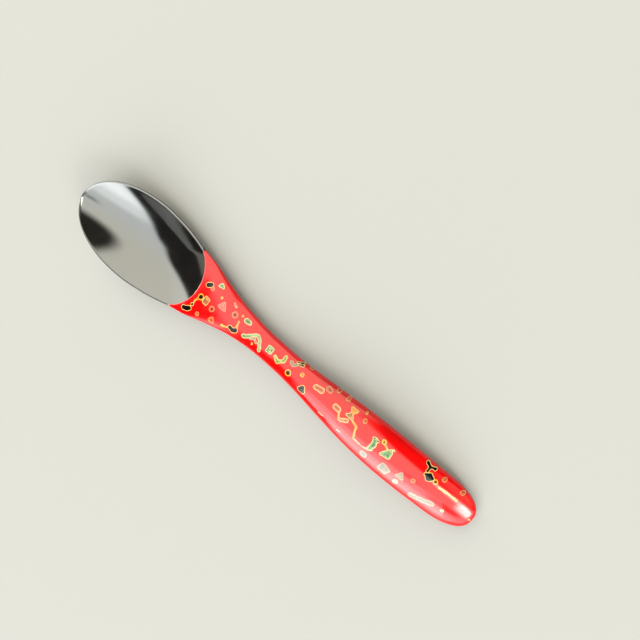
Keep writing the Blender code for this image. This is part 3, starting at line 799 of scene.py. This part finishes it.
def red_lacquer():
    """Red lacquer over the polished-down deposits, whose layers show as rings round each spot, with a
    painted highlight along the hollow's edge.
    """
    material, tree, shader = new_material("red_lacquer")
    shader.inputs["IOR"].default_value = RED_INDEX
    clouds = soft_step(tree, noise(tree, RED_CLOUDS, detail=3.0), *RED_CLOUD_STEP)
    colour = mixed(tree, clouds, RED, DEEP_RED)
    shake = value_node(tree, "SUBTRACT", noise(tree, SHAKE_SCALE, detail=3.0), 0.5)
    depth = value_node(tree, "ADD", stored(tree, "depth"), value_node(tree, "MULTIPLY", shake, SHAKE))
    outside = soft_step(tree, depth, *CONTOUR_STEP, 0.0, CONTOUR_STRENGTH)
    colour = mixed(tree, outside, colour, CONTOUR_RED)
    ring = soft_step(tree, depth, -EDGE_BLUR, EDGE_BLUR)
    colour = mixed(tree, ring, colour, stored(tree, "ring_colour"))
    past_ring = value_node(tree, "SUBTRACT", depth, stored(tree, "ring_width"))
    mottled = soft_step(tree, noise(tree, MOTTLING), *MOTTLING_STEP, 0.0, MOTTLING_STRENGTH)
    fill = mixed(tree, mottled, stored(tree, "fill_colour"), stored(tree, "core_colour"))
    within = soft_step(tree, past_ring, -EDGE_BLUR, EDGE_BLUR)
    colour = mixed(tree, within, colour, fill)
    past_fill = value_node(tree, "SUBTRACT", depth, stored(tree, "core_depth"))
    deep = soft_step(tree, past_fill, -EDGE_BLUR, EDGE_BLUR)
    colour = mixed(tree, deep, colour, stored(tree, "core_colour"))
    off_echo = value_node(tree, "ABSOLUTE", value_node(tree, "SUBTRACT", past_ring, ECHO_DEPTH))
    echo = soft_step(tree, off_echo, *ECHO_STEP, ECHO_STRENGTH, 0.0)
    roomy = soft_step(tree, stored(tree, "core_depth"), *ROOMY_STEP)
    echo = value_node(tree, "MULTIPLY", echo, roomy)
    colour = mixed(tree, echo, colour, stored(tree, "ring_colour"))
    # Painted highlight: a paler line along the hollow's edge.
    lip = soft_step(tree, stored(tree, "lip"), *LIP_HIGHLIGHT_STEP, LIP_HIGHLIGHT_STRENGTH, 0.0)
    colour = mixed(tree, lip, colour, LIP_HIGHLIGHT_RED)
    tree.links.new(colour, shader.inputs["Base Color"])
    polish(tree, shader, RED_ROUGHNESS, RED_WAVES)
    return material


def wood():
    """Carved wood, with its grain along the spoon."""
    material, tree, shader = new_material("wood")
    grain = noise(tree, GRAIN, detail=4.0, stretch=GRAIN_STRETCH)
    tree.links.new(mixed(tree, grain, WOOD, DARK_WOOD), shader.inputs["Base Color"])
    tree.links.new(soft_step(tree, grain, *GRAIN_STEP, *WOOD_ROUGHNESS), shader.inputs["Roughness"])
    bumped(tree, shader, grain, GRAIN_STRENGTH, GRAIN_HEIGHT)
    return material


def floor_paper():
    """Plain pale paper."""
    material, _, shader = new_material("floor_paper")
    shader.inputs["Base Color"].default_value = (*PAPER, 1.0)
    shader.inputs["Roughness"].default_value = PAPER_ROUGHNESS
    return material


# ---------------------------------------------------------------- the camera and the floor, m
CAMERA_PLACE = (0.05020, 0.06115, 0.17168)
CAMERA_RIGHT = (0.75156, 0.57823, -0.31749)
CAMERA_UP = (-0.62184, 0.78164, -0.04845)
CAMERA_BACK = (0.22015, 0.23384, 0.94702)
LENS = 28.125  # on a sensor this wide, both in mm
SENSOR_WIDTH = 36.0
FLOOR_SIZE = 3.0
FLOOR_DROP = 0.00003  # below the spoon, so that the two never touch


def add_camera():
    """Looks down on the spoon from its +Y side, with the bowl at the upper left."""
    data = bpy.data.cameras.new("camera")
    data.lens = LENS
    data.sensor_width = SENSOR_WIDTH
    camera = bpy.data.objects.new("camera", data)
    turn = Matrix((CAMERA_RIGHT, CAMERA_UP, CAMERA_BACK)).transposed().to_4x4()
    camera.matrix_world = Matrix.Translation(CAMERA_PLACE) @ turn
    bpy.context.scene.collection.objects.link(camera)
    bpy.context.scene.camera = camera


def add_floor():
    bpy.ops.mesh.primitive_plane_add(size=FLOOR_SIZE, location=(0, 0, -FLOOR_DROP))
    floor = bpy.context.active_object
    floor.name = "floor"
    floor.data.materials.append(floor_paper())


def add_handle_lights(handle):
    """Lights the handle alone, from its -Y side and above."""
    receivers = bpy.data.collections.new("handle_receivers")
    receivers.objects.link(handle)
    for number, (place, size, watts) in enumerate(HANDLE_LIGHTS, 1):
        data = bpy.data.lights.new("softbox_" + str(number), "AREA")
        data.shape = "RECTANGLE"
        data.size, data.size_y = size
        data.energy = watts
        light = bpy.data.objects.new(data.name, data)
        light.location = place
        aim = Vector(HANDLE_AIM) - Vector(place)
        light.rotation_euler = aim.to_track_quat("-Z", "Y").to_euler()
        light.light_linking.receiver_collection = receivers
        bpy.context.scene.collection.objects.link(light)


def main():
    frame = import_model()
    bpy.context.scene.view_settings.view_transform = "Standard"
    bowl = bowl_skin(black_lacquer())
    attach(bowl, "root")
    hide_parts("bowl_inner_coat", "bowl_outer_coat")
    handle = handle_skin(red_lacquer())
    mark_spots(handle)
    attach(handle, "root")
    spots = [name for name in frame["nodes"] if name.startswith("pattern_spot")]
    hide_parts("handle_red_coat", *spots)
    core = frame["nodes"]["wood_core"]
    core.data.materials.clear()
    core.data.materials.append(wood())
    add_camera()
    add_floor()
    add_studio()
    add_handle_lights(handle)


main()
